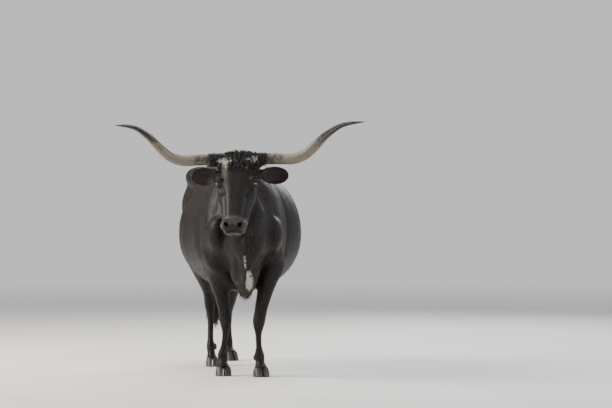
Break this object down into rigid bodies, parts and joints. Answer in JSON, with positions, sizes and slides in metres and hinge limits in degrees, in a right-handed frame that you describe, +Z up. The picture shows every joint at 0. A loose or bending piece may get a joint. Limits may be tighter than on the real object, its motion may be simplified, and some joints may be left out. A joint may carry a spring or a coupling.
{
  "type": "texas longhorn cow figure",
  "caption": "Life-size standing Texas longhorn cow, dark coated, head turned slightly, with long upswept horns, cloven hooves and a hanging tail.",
  "frame": {"origin": "centre of the underside of the model's box, on the floor", "axes": "+Z up, the animal faces -Y, its left side is +X"},
  "size_m": [1.4348, 2.0728, 1.5272],
  "materials": {
    "flesh": "short glossy near-black hair over hide",
    "horn": "ivory-grey horn, satin, dark at the tips",
    "hoof": "dark slate hoof horn, dull",
    "eye": "wet, very dark brown",
    "hair": "long coarse black hair in locks"
  },
  "bodies": {
    "root": {"claw_fore_left_inner": "hoof", "claw_fore_left_outer": "hoof", "claw_fore_right_inner": "hoof", "claw_fore_right_outer": "hoof", "claw_hind_left_inner": "hoof", "claw_hind_left_outer": "hoof", "claw_hind_right_inner": "hoof", "claw_hind_right_outer": "hoof", "dewclaw_fore_left_inner": "hoof", "dewclaw_fore_left_outer": "hoof", "dewclaw_fore_right_inner": "hoof", "dewclaw_fore_right_outer": "hoof", "dewclaw_hind_left_inner": "hoof", "dewclaw_hind_left_outer": "hoof", "dewclaw_hind_right_inner": "hoof", "dewclaw_hind_right_outer": "hoof", "ear_left": "flesh", "ear_right": "flesh", "eye_left": "eye", "eye_right": "eye", "fore_cannon_left": "flesh", "fore_cannon_right": "flesh", "forearm_left": "flesh", "forearm_right": "flesh", "head": "flesh", "hind_cannon_left": "flesh", "hind_cannon_right": "flesh", "hind_leg_left": "flesh", "hind_leg_right": "flesh", "horn_left": "horn", "horn_right": "horn", "neck": "flesh", "rump": "flesh", "tail": "flesh", "tail_switch": "hair", "torso": "flesh"}
  },
  "joints": []
}
